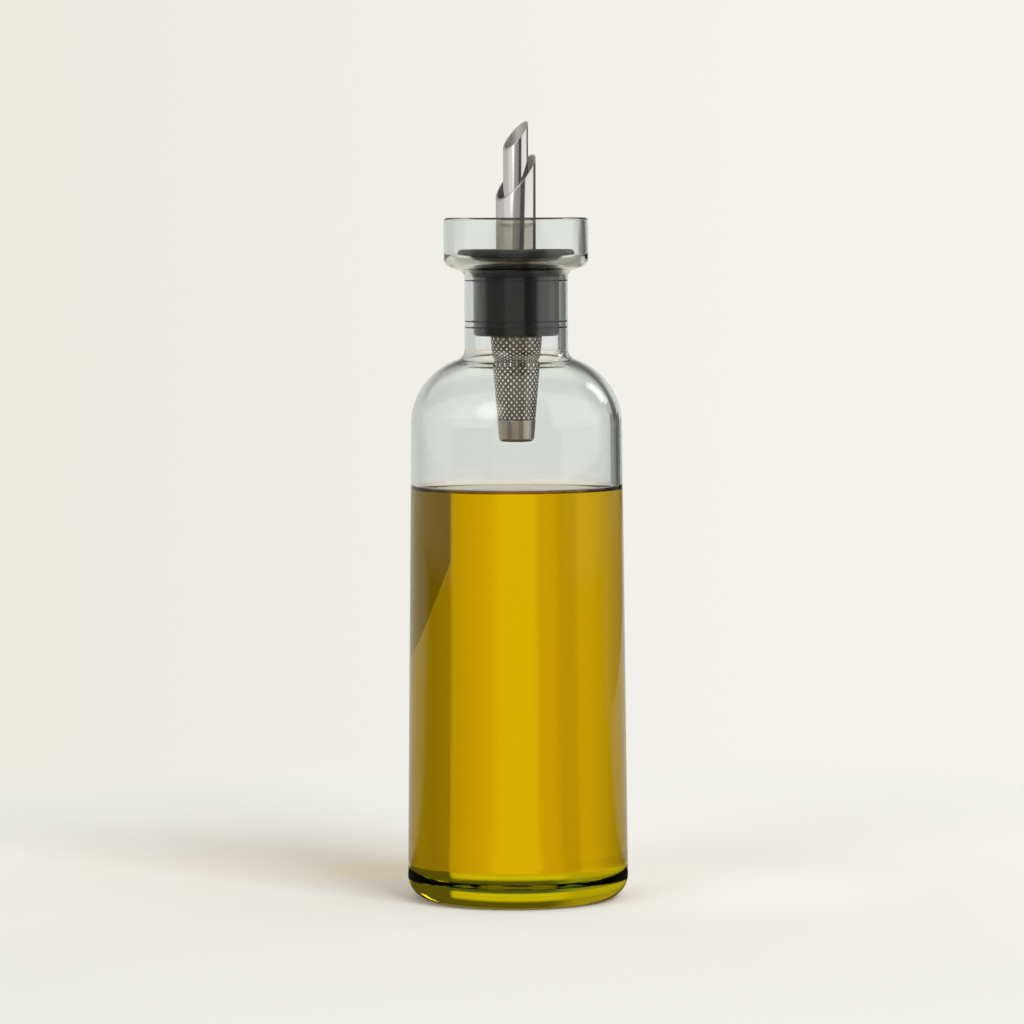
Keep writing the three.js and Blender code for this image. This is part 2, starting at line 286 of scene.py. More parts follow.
# Seal sleeve: moulded silicone, pushed over the stem from below. Three ribs grip the neck, and a flange sits
# on the glass lip.
seal_low, seal_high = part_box("seal_sleeve")
sleeve_bore = 10.8 * mm
sleeve_recess = 11.6 * mm
sleeve_radius = 12.85 * mm
sleeve_foot = 1.0 * mm
rib_squeeze = 0.02 * mm
rib_round = 0.2 * mm
rib_width = 0.6 * mm
rib_feet = [seal_low.z + 2.3 * mm, seal_low.z + 4.1 * mm, neck_top - 1.4 * mm]
recess_height = 1.4 * mm
flange_radius = seal_high.x
flange_round = 0.3 * mm
seat_gap = 0.3 * mm
seat_arc = lip_arc + seat_gap
rib_radius = neck_bore + rib_squeeze
seat_foot = lip_centre - seat_arc
seat_end = math.degrees(math.acos((flange_radius - lip_centre) / seat_arc))
moulded_steps = 128

ribs = []
for foot in rib_feet:
    ribs += [
        (sleeve_radius, foot),
        (rib_radius - rib_round, foot),
        (rib_radius - rib_round, foot + rib_round, 90),
        (rib_radius, foot + rib_width - rib_round),
        (rib_radius - rib_round, foot + rib_width - rib_round, 90),
        (sleeve_radius, foot + rib_width),
    ]

seal = turned("seal_sleeve_silicone", [
    (sleeve_recess, seal_low.z),
    (sleeve_radius - sleeve_foot, seal_low.z),
    (sleeve_radius - sleeve_foot, seal_low.z + sleeve_foot, 90),
    *ribs,
    (sleeve_radius, neck_top - (seat_foot - sleeve_radius)),
    (seat_foot, neck_top),
    (lip_centre, neck_top, seat_end - 180),
    (flange_radius, seal_high.z - flange_round),
    (flange_radius - flange_round, seal_high.z - flange_round, 90),
    (sleeve_bore, seal_high.z),
    (sleeve_bore, seal_low.z + recess_height),
    (sleeve_recess, seal_low.z + recess_height),
    (sleeve_recess, seal_low.z),
], around=moulded_steps, arc_step=15)

# Moulded silicone rubber: charcoal, satin, with a soft bloom that shows as slightly uneven gloss.
bloom_size = 4 * mm
silicone, tree = new_material("charcoal moulded silicone")
place = node(tree, "ShaderNodeTexCoord")
bloom = node(tree, "ShaderNodeTexNoise", {}, {
    "Vector": place.outputs["Object"], "Scale": 1 / bloom_size, "Detail": 3.0})
tone = node(tree, "ShaderNodeMix", {"data_type": "RGBA"}, {
    "Factor": bloom.outputs["Fac"], "A": linear("#222220"), "B": linear("#252523")})
gloss = node(tree, "ShaderNodeMapRange", {}, {
    "Value": bloom.outputs["Fac"], "To Min": 0.20, "To Max": 0.24})
rubber = node(tree, "ShaderNodeBsdfPrincipled", {}, {
    "Base Color": tone.outputs["Result"], "Roughness": gloss.outputs["Result"], "IOR": 1.41})
node(tree, "ShaderNodeOutputMaterial", {}, {"Surface": rubber.outputs["BSDF"]})
seal.data.materials.append(silicone)
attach(seal, "seal")
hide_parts("seal_sleeve")


# Stopper core: injection-moulded polypropylene. A drip disc with a full round edge and a conical underside
# stands on a hollow stem, whose web holds the tubes and has six vents for drips and air.
core_low, core_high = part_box("stopper_core")
disc_radius = core_high.x
disc_top = core_high.z
stem_bottom = core_low.z
disc_edge = 1.35 * mm
disc_cone = 20
disc_gap = 0.3 * mm
disc_foot = seal_high.z + disc_gap
stem_radius = 10.6 * mm
lip_radius = 11.4 * mm
lip_height = 1.2 * mm
lip_chamfer = 0.4 * mm
drip_seat_radius = 6.1 * mm
seat_chamfer = 0.3 * mm
pour_hole_radius = 3.85 * mm
socket_radius = 8.1 * mm
web_depth = 12.2 * mm
web_thickness = 2.5 * mm
web_top = disc_top - web_depth
web_bottom = web_top - web_thickness
edge_centre = disc_radius - disc_edge
edge_height = disc_top - disc_edge
cone_start = Vector((math.sin(math.radians(disc_cone)), -math.cos(math.radians(disc_cone)))) * disc_edge
cone_top = (edge_centre + cone_start.x, edge_height + cone_start.y)
cone_foot = cone_top[0] - (cone_top[1] - disc_foot) / math.tan(math.radians(disc_cone))

core = turned("stopper_core_plastic", [
    (pour_hole_radius, web_bottom),
    (socket_radius, web_bottom),
    (socket_radius, stem_bottom),
    (lip_radius - lip_chamfer, stem_bottom),
    (lip_radius, stem_bottom + lip_chamfer),
    (lip_radius, stem_bottom + lip_height),
    (stem_radius, stem_bottom + lip_height),
    (stem_radius, disc_foot),
    (cone_foot, disc_foot),
    cone_top,
    (edge_centre, edge_height, 180 - disc_cone),
    (drip_seat_radius + seat_chamfer, disc_top),
    (drip_seat_radius, disc_top - seat_chamfer),
    (drip_seat_radius, web_top),
    (pour_hole_radius, web_top),
    (pour_hole_radius, web_bottom),
], around=moulded_steps)

vent_count = 6
vent_radius = 0.58 * mm
vent_length = 4 * mm
drip_bore = 5.5 * mm
vent_circle = (drip_bore + pour_hole_radius) / 2
bpy.ops.object.select_all(action="DESELECT")
bpy.ops.mesh.primitive_cylinder_add(
    vertices=16, radius=vent_radius, depth=vent_length,
    location=(vent_circle, 0, (web_top + web_bottom) / 2))
vent = bpy.context.object
bpy.ops.object.transform_apply()
bpy.ops.object.mode_set(mode="EDIT")
bpy.ops.mesh.spin(steps=vent_count, angle=math.tau, dupli=True, center=(0, 0, 0), axis=(0, 0, 1))
bpy.ops.mesh.select_all(action="SELECT")
bpy.ops.mesh.remove_doubles(threshold=weld)
bpy.ops.object.mode_set(mode="OBJECT")
bpy.ops.object.select_all(action="DESELECT")
bpy.context.view_layer.objects.active = core
core.select_set(True)
bpy.ops.object.modifier_add(type="BOOLEAN")
core.modifiers["Boolean"].object = vent
core.modifiers["Boolean"].operation = "DIFFERENCE"
bpy.ops.object.modifier_apply(modifier="Boolean")
bpy.data.objects.remove(vent)

# Moulded polypropylene: dark grey with a fine spark-eroded grain that keeps its sheen soft, drawn 0.35 mm
# wide so that it shows.
grain_size = 0.35 * mm
cloud_size = 6 * mm
plastic, tree = new_material("dark grey moulded polypropylene")
place = node(tree, "ShaderNodeTexCoord")
grain = node(tree, "ShaderNodeTexNoise", {}, {
    "Vector": place.outputs["Object"], "Scale": 1 / grain_size, "Detail": 2.0})
grainy = node(tree, "ShaderNodeBump", {}, {
    "Height": grain.outputs["Fac"], "Strength": 0.35, "Distance": 0.05 * mm})
clouds = node(tree, "ShaderNodeTexNoise", {}, {
    "Vector": place.outputs["Object"], "Scale": 1 / cloud_size, "Detail": 2.0})
tone = node(tree, "ShaderNodeMix", {"data_type": "RGBA"}, {
    "Factor": clouds.outputs["Fac"], "A": linear("#20201F"), "B": linear("#282827")})
gloss = node(tree, "ShaderNodeMapRange", {}, {
    "Value": grain.outputs["Fac"], "To Min": 0.38, "To Max": 0.52})
shell = node(tree, "ShaderNodeBsdfPrincipled", {}, {
    "Base Color": tone.outputs["Result"], "Roughness": gloss.outputs["Result"], "IOR": 1.49,
    "Normal": grainy.outputs["Normal"]})
node(tree, "ShaderNodeOutputMaterial", {}, {"Surface": shell.outputs["BSDF"]})
core.data.materials.append(plastic)
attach(core, "spout")
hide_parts("stopper_core")


# Drip tube and pour tube: drawn stainless steel, one inside the other, each cut off at the same slant and
# deburred, then pressed into the core.
lip_angle = math.radians(49)
tube_wall = 0.5 * mm
bore_depth = 0.8 * tube_wall
burr = 0.1 * mm
steel_steps = 96

# Drawn stainless steel: a bright satin with fine lines along the tube, drawn 0.4 mm apart so that they show.
# Below the cup's rim it is darker and yellower.
line_gap = 0.4 * mm
line_length = 30 * mm
below_rim_fade = 2.0 * mm
drawn_steel, tree = new_material("drawn stainless steel")
place = node(tree, "ShaderNodeTexCoord")
along = node(tree, "ShaderNodeMapping", {}, {
    "Vector": place.outputs["Object"], "Scale": (1 / line_gap, 1 / line_gap, 1 / line_length)})
lines = node(tree, "ShaderNodeTexNoise", {}, {
    "Vector": along.outputs["Vector"], "Scale": 1.0, "Detail": 3.0})
drawn = node(tree, "ShaderNodeBump", {}, {
    "Height": lines.outputs["Fac"], "Strength": 0.15, "Distance": 0.02 * mm})
tone = node(tree, "ShaderNodeMix", {"data_type": "RGBA"}, {
    "Factor": lines.outputs["Fac"], "A": linear("#C4C0BF"), "B": linear("#D6D2D0")})
spot = node(tree, "ShaderNodeSeparateXYZ", {}, {"Vector": place.outputs["Object"]})
in_cup = node(tree, "ShaderNodeMapRange", {}, {
    "Value": spot.outputs["Z"], "From Min": rim_height, "From Max": rim_height - below_rim_fade})
darker_below_rim = node(tree, "ShaderNodeMix", {"data_type": "RGBA", "blend_type": "MULTIPLY"}, {
    "Factor": in_cup.outputs["Result"], "A": tone.outputs["Result"], "B": linear("#C8C5B6")})
gloss = node(tree, "ShaderNodeMapRange", {}, {
    "Value": lines.outputs["Fac"], "To Min": 0.10, "To Max": 0.18})
metal = node(tree, "ShaderNodeBsdfPrincipled", {}, {
    "Base Color": darker_below_rim.outputs["Result"], "Metallic": 1.0, "Roughness": gloss.outputs["Result"],
    "Normal": drawn.outputs["Normal"]})
node(tree, "ShaderNodeOutputMaterial", {}, {"Surface": metal.outputs["BSDF"]})

# The bore of a drawn tube isn't polished: a grey, grainy scale is left there, drawn 0.3 mm wide so that it
# shows.
scale_grain = 0.3 * mm
bore_steel, tree = new_material("unpolished tube bore")
place = node(tree, "ShaderNodeTexCoord")
scale = node(tree, "ShaderNodeTexNoise", {}, {
    "Vector": place.outputs["Object"], "Scale": 1 / scale_grain, "Detail": 2.0})
tone = node(tree, "ShaderNodeMix", {"data_type": "RGBA"}, {
    "Factor": scale.outputs["Fac"], "A": linear("#B0ACA8"), "B": linear("#DEDAD6")})
grainy = node(tree, "ShaderNodeBump", {}, {
    "Height": scale.outputs["Fac"], "Strength": 0.4, "Distance": 0.03 * mm})
metal = node(tree, "ShaderNodeBsdfPrincipled", {}, {
    "Base Color": tone.outputs["Result"], "Metallic": 1.0, "Roughness": 0.6,
    "Normal": grainy.outputs["Normal"]})
node(tree, "ShaderNodeOutputMaterial", {}, {"Surface": metal.outputs["BSDF"]})


def slant_cut_tube(name, cad_node):
    """A tube cut off at the slant, with the burr taken off its ends."""
    low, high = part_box(cad_node)
    radius = high.x
    cut = Vector((0, 0, high.z - radius * math.tan(lip_angle)))
    tube = turned(name, [
        (radius - tube_wall, low.z + burr),
        (radius - tube_wall + burr, low.z),
        (radius - burr, low.z),
        (radius, low.z + burr),
        (radius, high.z + radius),
        (radius - tube_wall, high.z + radius),
        (radius - tube_wall, low.z + burr),
    ], around=steel_steps)
    bpy.ops.object.mode_set(mode="EDIT")
    bpy.ops.mesh.select_all(action="SELECT")
    slant = (-math.sin(lip_angle), 0, math.cos(lip_angle))
    bpy.ops.mesh.bisect(plane_co=cut, plane_no=slant, clear_outer=True)
    bpy.ops.mesh.bridge_edge_loops()
    bpy.ops.mesh.region_to_loop()
    bpy.ops.mesh.bevel(offset=burr, segments=2)
    bpy.ops.mesh.select_all(action="SELECT")
    bpy.ops.mesh.normals_make_consistent(inside=False)
    bpy.ops.object.mode_set(mode="OBJECT")
    bpy.ops.object.shade_smooth_by_angle(angle=smooth_limit)
    tube.data.materials.append(drawn_steel)
    tube.data.materials.append(bore_steel)
    for face in tube.data.polygons:
        face.material_index = 1 if face.center.xy.length < radius - bore_depth else 0
    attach(tube, "spout")
    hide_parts(cad_node)


slant_cut_tube("drip_tube_steel", "drip_tube")
slant_cut_tube("pour_tube_steel", "pour_tube")


# Strainer sleeve: stainless sheet with staggered round perforations, rolled into a cone and seam-welded.
# A plain collar above it is pushed into the stem's socket.
collar_low, collar_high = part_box("strainer_sleeve")
sheet_thickness = 0.3 * mm
collar_radius = collar_high.x
collar_step = 0.4 * mm
cone_top_height = stem_bottom
cone_end_height = collar_low.z
cone_top_radius = collar_radius - collar_step
cone_narrowing = 2.1 * mm
cone_length = 25.4 * mm
cone_taper = cone_narrowing / cone_length
columns = 24
row_pairs = 13
row_spacing = 0.95 * mm
punched_rings = [(0.13 * mm, -0.20 * mm), (0.24 * mm, -0.09 * mm), (0.33 * mm, -0.03 * mm), (0.44 * mm, 0)]
hole_sides = 8
dimple_radius = punched_rings[-1][0]
dimple_limit = 1.01 * dimple_radius
plain_edge = 0.35 * mm
cell_width = math.tau / columns * cone_top_radius
off_axis = 0.1 * mm
on_border = 0.01 * mm
sheet_weld = 0.005 * mm

# One hole in its cell of the flat sheet: rings round the hole, then the cell's outline, whose diagonal points
# are drawn out to the corners.
bpy.ops.object.select_all(action="DESELECT")
bpy.ops.mesh.primitive_circle_add(vertices=hole_sides, radius=punched_rings[0][0])
sleeve = bpy.context.object
sleeve.name = "strainer_sleeve_steel"
sleeve.data.name = sleeve.name
bpy.ops.object.mode_set(mode="EDIT")
bpy.ops.transform.translate(value=(0, 0, punched_rings[0][1]))
for inner, outer in zip(punched_rings, punched_rings[1:]):
    bpy.ops.mesh.extrude_region_move(TRANSFORM_OT_translate={"value": (0, 0, outer[1] - inner[1])})
    bpy.ops.transform.resize(value=(outer[0] / inner[0], outer[0] / inner[0], 1))
bpy.ops.mesh.extrude_region_move()
bpy.ops.transform.resize(value=(cell_width / 2 / dimple_radius, row_spacing / 2 / dimple_radius, 1))
bpy.ops.object.mode_set(mode="OBJECT")
for vertex in sleeve.data.vertices:
    vertex.select = vertex.select and abs(vertex.co.x * vertex.co.y) > off_axis ** 2
bpy.ops.object.mode_set(mode="EDIT")
bpy.ops.mesh.select_mode(type="VERT")
bpy.ops.transform.resize(value=(math.sqrt(2), math.sqrt(2), 1))
bpy.ops.object.mode_set(mode="OBJECT")
for face in sleeve.data.polygons:
    reach = max(sleeve.data.vertices[i].co.xy.length for i in face.vertices)
    face.material_index = 1 if reach < dimple_limit else 0

# The cell is repeated into the sheet, which gets its plain bands, is rolled up and gets its thickness.
repeats = [
    (2, (cell_width / 2, -row_spacing, 0)),
    (row_pairs, (0, -2 * row_spacing, 0)),
    (columns, (cell_width, 0, 0)),
]
for count, step in repeats:
    bpy.ops.object.modifier_add(type="ARRAY")
    array = sleeve.modifiers["Array"]
    array.count = count
    array.use_relative_offset = False
    array.use_constant_offset = True
    array.constant_offset_displace = step
    bpy.ops.object.modifier_apply(modifier="Array")

sheet_top = row_spacing / 2
sheet_bottom = sheet_top - 2 * row_pairs * row_spacing
plain_bands = [
    (sheet_top, [plain_edge, collar_step, collar_high.z - cone_top_height - collar_step]),
    (sheet_bottom, [cone_end_height - (cone_top_height - plain_edge + sheet_bottom - sheet_top)]),
]
bpy.ops.object.mode_set(mode="EDIT")
bpy.ops.mesh.select_all(action="SELECT")
bpy.ops.mesh.remove_doubles(threshold=sheet_weld)
for border, heights in plain_bands:
    bpy.ops.mesh.select_all(action="DESELECT")
    bpy.ops.object.mode_set(mode="OBJECT")
    for edge in sleeve.data.edges:
        ends = [sleeve.data.vertices[i] for i in edge.vertices]
        edge.select = all(abs(end.co.y - border) < on_border for end in ends)
        for end in ends:
            end.select = end.select or edge.select
    bpy.ops.object.mode_set(mode="EDIT")
    for height in heights:
        bpy.ops.mesh.extrude_region_move(TRANSFORM_OT_translate={"value": (0, height, 0)})
bpy.ops.object.mode_set(mode="OBJECT")
for vertex in sleeve.data.vertices:
    turn = vertex.co.x / cone_top_radius
    height = vertex.co.y - sheet_top - plain_edge
    flare = min(max(height, 0), collar_step)
    radius = cone_top_radius + cone_taper * min(height, 0) + flare + vertex.co.z
    vertex.co = (radius * math.cos(turn), radius * math.sin(turn), cone_top_height + height)
bpy.ops.object.mode_set(mode="EDIT")
bpy.ops.mesh.select_all(action="SELECT")
bpy.ops.mesh.remove_doubles(threshold=sheet_weld)
bpy.ops.mesh.normals_make_consistent(inside=False)
bpy.ops.object.mode_set(mode="OBJECT")
bpy.ops.object.modifier_add(type="SOLIDIFY")
sleeve.modifiers["Solidify"].thickness = sheet_thickness
sleeve.modifiers["Solidify"].offset = -1
bpy.ops.object.modifier_apply(modifier="Solidify")
bpy.ops.object.shade_smooth_by_angle(angle=smooth_limit)

# Rolled stainless sheet: duller than the tubes, with a faint uneven sheen from pickling.
mottle_size = 0.6 * mm
sheet_steel, tree = new_material("rolled stainless sheet")
place = node(tree, "ShaderNodeTexCoord")
mottle = node(tree, "ShaderNodeTexNoise", {}, {
    "Vector": place.outputs["Object"], "Scale": 1 / mottle_size, "Detail": 3.0})
tone = node(tree, "ShaderNodeMix", {"data_type": "RGBA"}, {
    "Factor": mottle.outputs["Fac"], "A": linear("#857C6D"), "B": linear("#918878")})
gloss = node(tree, "ShaderNodeMapRange", {}, {
    "Value": mottle.outputs["Fac"], "To Min": 0.10, "To Max": 0.14})
metal = node(tree, "ShaderNodeBsdfPrincipled", {}, {
    "Base Color": tone.outputs["Result"], "Metallic": 1.0, "Roughness": gloss.outputs["Result"]})
node(tree, "ShaderNodeOutputMaterial", {}, {"Surface": metal.outputs["BSDF"]})
sleeve.data.materials.append(sheet_steel)

# The punch burnishes the rim of each hole, which is the brightest thing on the sleeve.
polish_size = 0.4 * mm
burnished_rim, tree = new_material("burnished punched rim")
place = node(tree, "ShaderNodeTexCoord")
polish = node(tree, "ShaderNodeTexNoise", {}, {
    "Vector": place.outputs["Object"], "Scale": 1 / polish_size, "Detail": 2.0})
gloss = node(tree, "ShaderNodeMapRange", {}, {
    "Value": polish.outputs["Fac"], "To Min": 0.2, "To Max": 0.3})
metal = node(tree, "ShaderNodeBsdfPrincipled", {}, {
    "Base Color": linear("#FFFDF8"), "Metallic": 1.0, "Roughness": gloss.outputs["Result"]})
node(tree, "ShaderNodeOutputMaterial", {}, {"Surface": metal.outputs["BSDF"]})
sleeve.data.materials.append(burnished_rim)
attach(sleeve, "strainer")
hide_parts("strainer_sleeve")


# Strainer cup: a thimble deep-drawn from the same stainless sheet. It closes the strainer's tip, slipped over
# the end of the cone and spot-welded there.
thimble_low, thimble_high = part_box("strainer_cup")
thimble_corner = 1.3 * mm
thimble_rim_radius = thimble_high.x
thimble_foot = thimble_rim_radius - cone_taper * (thimble_high.z - thimble_low.z - thimble_corner)

thimble = turned("strainer_cup_steel", [
    (0, thimble_low.z),
    (thimble_foot - thimble_corner, thimble_low.z),
    (thimble_foot - thimble_corner, thimble_low.z + thimble_corner, 90),
    (thimble_rim_radius, thimble_high.z - sheet_thickness / 2),
    (thimble_rim_radius - sheet_thickness / 2, thimble_high.z - sheet_thickness / 2, 180),
    (thimble_foot - sheet_thickness, thimble_low.z + thimble_corner),
    (thimble_foot - thimble_corner, thimble_low.z + thimble_corner, -90),
    (0, thimble_low.z + sheet_thickness),
], around=steel_steps, arc_step=15)
weigh_normals(thimble)

# Deep-drawn stainless sheet: smoother than the sleeve and a little lighter, with faint lines round it, drawn
# 0.4 mm apart so that they show. The end of the thimble is given the darker, duller sleeve sheet.
ring_gap = 0.4 * mm
ring_length = 8 * mm
thimble_steel, tree = new_material("deep-drawn stainless sheet")
place = node(tree, "ShaderNodeTexCoord")
round_lines = node(tree, "ShaderNodeMapping", {}, {
    "Vector": place.outputs["Object"], "Scale": (1 / ring_length, 1 / ring_length, 1 / ring_gap)})
lines = node(tree, "ShaderNodeTexNoise", {}, {
    "Vector": round_lines.outputs["Vector"], "Scale": 1.0, "Detail": 2.0})
tone = node(tree, "ShaderNodeMix", {"data_type": "RGBA"}, {
    "Factor": lines.outputs["Fac"], "A": linear("#C9BEAD"), "B": linear("#D1C6B5")})
gloss = node(tree, "ShaderNodeMapRange", {}, {
    "Value": lines.outputs["Fac"], "To Min": 0.08, "To Max": 0.11})
metal = node(tree, "ShaderNodeBsdfPrincipled", {}, {
    "Base Color": tone.outputs["Result"], "Metallic": 1.0, "Roughness": gloss.outputs["Result"]})
node(tree, "ShaderNodeOutputMaterial", {}, {"Surface": metal.outputs["BSDF"]})
thimble.data.materials.append(thimble_steel)
thimble.data.materials.append(sheet_steel)
for face in thimble.data.polygons:
    face.material_index = 1 if face.center.z < thimble_low.z + thimble_corner / 2 else 0
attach(thimble, "strainer")
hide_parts("strainer_cup")


# Camera: a long lens at the height of the rim, tilted a few degrees down. It stands so far off that the
# bottle's sides stay all but upright.
camera_azimuth = math.radians(-31)
camera_distance = 1450 * mm
camera_pitch = math.radians(3.487)
camera_roll = math.radians(-0.2)
aim_left = 1.45 * mm
toward_camera = Vector((math.sin(camera_azimuth), -math.cos(camera_azimuth), 0))
to_the_right = Vector((math.cos(camera_azimuth), math.sin(camera_azimuth), 0))
camera = bpy.data.objects.new("camera", bpy.data.cameras.new("camera"))
camera.data.sensor_width = 36.0
camera.data.lens = 169.9
camera.location = toward_camera * camera_distance + Vector((0, 0, rim_height))
aim = Vector((0, 0, rim_height - camera_distance * math.tan(camera_pitch))) - to_the_right * aim_left
level_look = (aim - camera.location).to_track_quat("-Z", "Y")
camera.rotation_mode = "QUATERNION"
camera.rotation_quaternion = level_look @ Euler((0, 0, camera_roll)).to_quaternion()
bpy.context.scene.collection.objects.link(camera)
bpy.context.scene.camera = camera


# Sweep: a pale paper table that ends on the right, where the dark side of the studio begins. On its far part,
# and above it, the camera sees only a plain backdrop.
sweep_left = -1.6
sweep_right = 0.762
sweep_far_right = 0.422
sweep_near = -1.6
sweep_far = 2.2
sweep_drop = 0.1 * mm
bpy.ops.object.select_all(action="DESELECT")
bpy.ops.mesh.primitive_plane_add(size=1)
sweep = bpy.context.object
sweep.name = "sweep"
bpy.ops.object.mode_set(mode="EDIT")
bpy.ops.transform.resize(value=(sweep_right - sweep_left, sweep_far - sweep_near, 1))
bpy.ops.transform.translate(value=(
    (sweep_right + sweep_left) / 2, (sweep_far + sweep_near) / 2, -sweep_drop))
bpy.ops.object.mode_set(mode="OBJECT")
for corner in sweep.data.vertices:
    if corner.co.x > 0 and corner.co.y > 0:
        corner.co.x = sweep_far_right
sweep.rotation_euler.z = camera_azimuth

# The backdrop has painted light: it is painted brighter to the right, where more light falls on it.
backdrop_left_slope = -0.10
backdrop_right_slope = 0.05


def backdrop(tree, across, away):
    """The plain backdrop, painted lighter to the right, for a place so far across and away from the camera.
    """
    slope = node(tree, "ShaderNodeMath", {"operation": "DIVIDE"}, {0: across, 1: away})
    right = node(tree, "ShaderNodeMapRange", {}, {
        "Value": slope.outputs[0], "From Min": backdrop_left_slope, "From Max": backdrop_right_slope})
    return node(tree, "ShaderNodeMix", {"data_type": "RGBA"}, {
        "Factor": right.outputs["Result"], "A": linear("#EDEAE2"), "B": linear("#F3F1EC")}).outputs["Result"]


def grey(level):
    """A level of light as a colour."""
    return (level, level, level, 1.0)


def levels_round(tree, turn, levels):
    """Light round a full turn, a share from 0 to 1, by (degrees, level) pairs from -180 to 180 degrees."""
    ramp = node(tree, "ShaderNodeValToRGB", {}, {"Fac": turn})
    stops = ramp.color_ramp.elements
    stops[0].color = grey(levels[0][1])
    stops[1].color = grey(levels[-1][1])
    for degrees, level in levels[1:-1]:
        stops.new(0.5 + degrees / 360).color = grey(level)
    return ramp.outputs["Color"]


# Paper: matt, lit near the bottle, where the shadow falls, and plain further out. Its colour holds painted
# light: it is painted lighter towards the back, and three painted tints, each a centre, a full and an outer
# reach and a colour, paint a lighter pool right of the bottle, warmer shade in the shadow, and the golden
# light that the oil would throw on it.
lit_reach = 300 * mm
plain_reach = 420 * mm
paper_front = -160 * mm
paper_back = 120 * mm
# Painted light and shade: a pool right of the bottle, warm shade in the shadow, a glow from the oil.
painted_light_tints = [
    ((46 * mm, 16 * mm, 0), (10 * mm, 90 * mm), "#ECECEA"),
    ((-70 * mm, 90 * mm, 0), (20 * mm, 105 * mm), "#E5E2D7"),
    ((-43 * mm, 60 * mm, 0), (5 * mm, 32 * mm), "#E8E1C9"),
]
paper, tree = new_material("pale paper sweep")
place = node(tree, "ShaderNodeTexCoord")
spot = node(tree, "ShaderNodeSeparateXYZ", {}, {"Vector": place.outputs["Object"]})
# Painted light: the paper is painted lighter towards the back, where the key light falls off.
behind = node(tree, "ShaderNodeMapRange", {}, {
    "Value": spot.outputs["Y"], "From Min": paper_front, "From Max": paper_back})
painted_back_light = node(tree, "ShaderNodeMix", {"data_type": "RGBA"}, {
    "Factor": behind.outputs["Result"], "A": linear("#DFDFDB"), "B": linear("#E6E6E2")})
toned = painted_back_light.outputs["Result"]
for centre, (full_reach, outer_reach), tint in painted_light_tints:
    apart = node(tree, "ShaderNodeVectorMath", {"operation": "DISTANCE"}, {
        0: place.outputs["Object"], 1: centre})
    within = node(tree, "ShaderNodeMapRange", {"interpolation_type": "SMOOTHSTEP"}, {
        "Value": apart.outputs["Value"], "From Min": full_reach, "From Max": outer_reach,
        "To Min": 1.0, "To Max": 0.0})
    toned = node(tree, "ShaderNodeMix", {"data_type": "RGBA"}, {
        "Factor": within.outputs["Result"], "A": toned, "B": linear(tint)}).outputs["Result"]
lit = node(tree, "ShaderNodeBsdfDiffuse", {}, {"Color": toned})

# In glass and metal the paper shows painted shade: the flags round the set are painted on it as darker
# sectors, by degrees to the right of straight behind, about the line where the full bottle brings light to a
# focus. In reflections it shows painted levels, dark in front and light behind. Seen through more than four
# faces, past the whole body, all but the brightest painted sectors are warm.
oil_focus = 45 * mm
few_faces = 4.5
neutral_start = 0.86
neutral_full = 0.98
painted_shade_levels = [
    (-180, 0.42), (-158, 0.42), (-148, 0.25), (-125, 0.25), (-118, 0.45), (-70, 0.50), (-50, 0.58),
    (-37, 0.72), (-30, 0.80), (-24, 0.82), (-21, 0.70), (-15.5, 0.70), (-13, 0.82), (-7.5, 0.86),
    (-5.5, 0.99), (5.5, 0.99), (7.5, 0.93), (10, 0.87), (14, 0.83), (25, 0.69), (26.2, 0.43), (38, 0.38),
    (60, 0.45), (70, 0.42), (100, 0.50), (105, 0.73), (135, 0.70), (142, 0.27), (162, 0.27), (168, 0.42),
    (180, 0.42),
]
painted_reflection_levels = [(-180, 0.03), (-76, 0.03), (-66, 0.5), (0, 0.9), (66, 0.5), (76, 0.03), (180, 0.03)]
path = node(tree, "ShaderNodeLightPath")
from_focus = node(tree, "ShaderNodeVectorMath", {"operation": "SUBTRACT"}, {
    0: place.outputs["Object"], 1: (0, oil_focus, 0)})
offset = node(tree, "ShaderNodeSeparateXYZ", {}, {"Vector": from_focus.outputs["Vector"]})
angle = node(tree, "ShaderNodeMath", {"operation": "ARCTAN2"}, {
    0: offset.outputs["X"], 1: offset.outputs["Y"]})
sector = node(tree, "ShaderNodeMapRange", {}, {
    "Value": angle.outputs[0], "From Min": -math.pi, "From Max": math.pi})
through = levels_round(tree, sector.outputs["Result"], painted_shade_levels)
mirrored = levels_round(tree, sector.outputs["Result"], painted_reflection_levels)
painted_flag_shade = node(tree, "ShaderNodeMix", {"data_type": "RGBA"}, {
    "Factor": path.outputs["Is Reflection Ray"], "A": through, "B": mirrored}).outputs["Result"]
bright = node(tree, "ShaderNodeMapRange", {}, {
    "Value": painted_flag_shade, "From Min": neutral_start, "From Max": neutral_full})
few_walls = node(tree, "ShaderNodeMath", {"operation": "LESS_THAN"}, {
    0: path.outputs["Transmission Depth"], 1: few_faces})
neutral = node(tree, "ShaderNodeMath", {"operation": "MAXIMUM"}, {
    0: bright.outputs["Result"], 1: few_walls.outputs[0]})
warmth = node(tree, "ShaderNodeMix", {"data_type": "RGBA"}, {
    "Factor": neutral.outputs[0], "A": linear("#F0DDCE"), "B": linear("#F0EADE")})
painted_flag_shade_warm = node(tree, "ShaderNodeMix", {"data_type": "RGBA", "blend_type": "MULTIPLY"}, {
    "Factor": 1.0, "A": warmth.outputs["Result"], "B": painted_flag_shade})
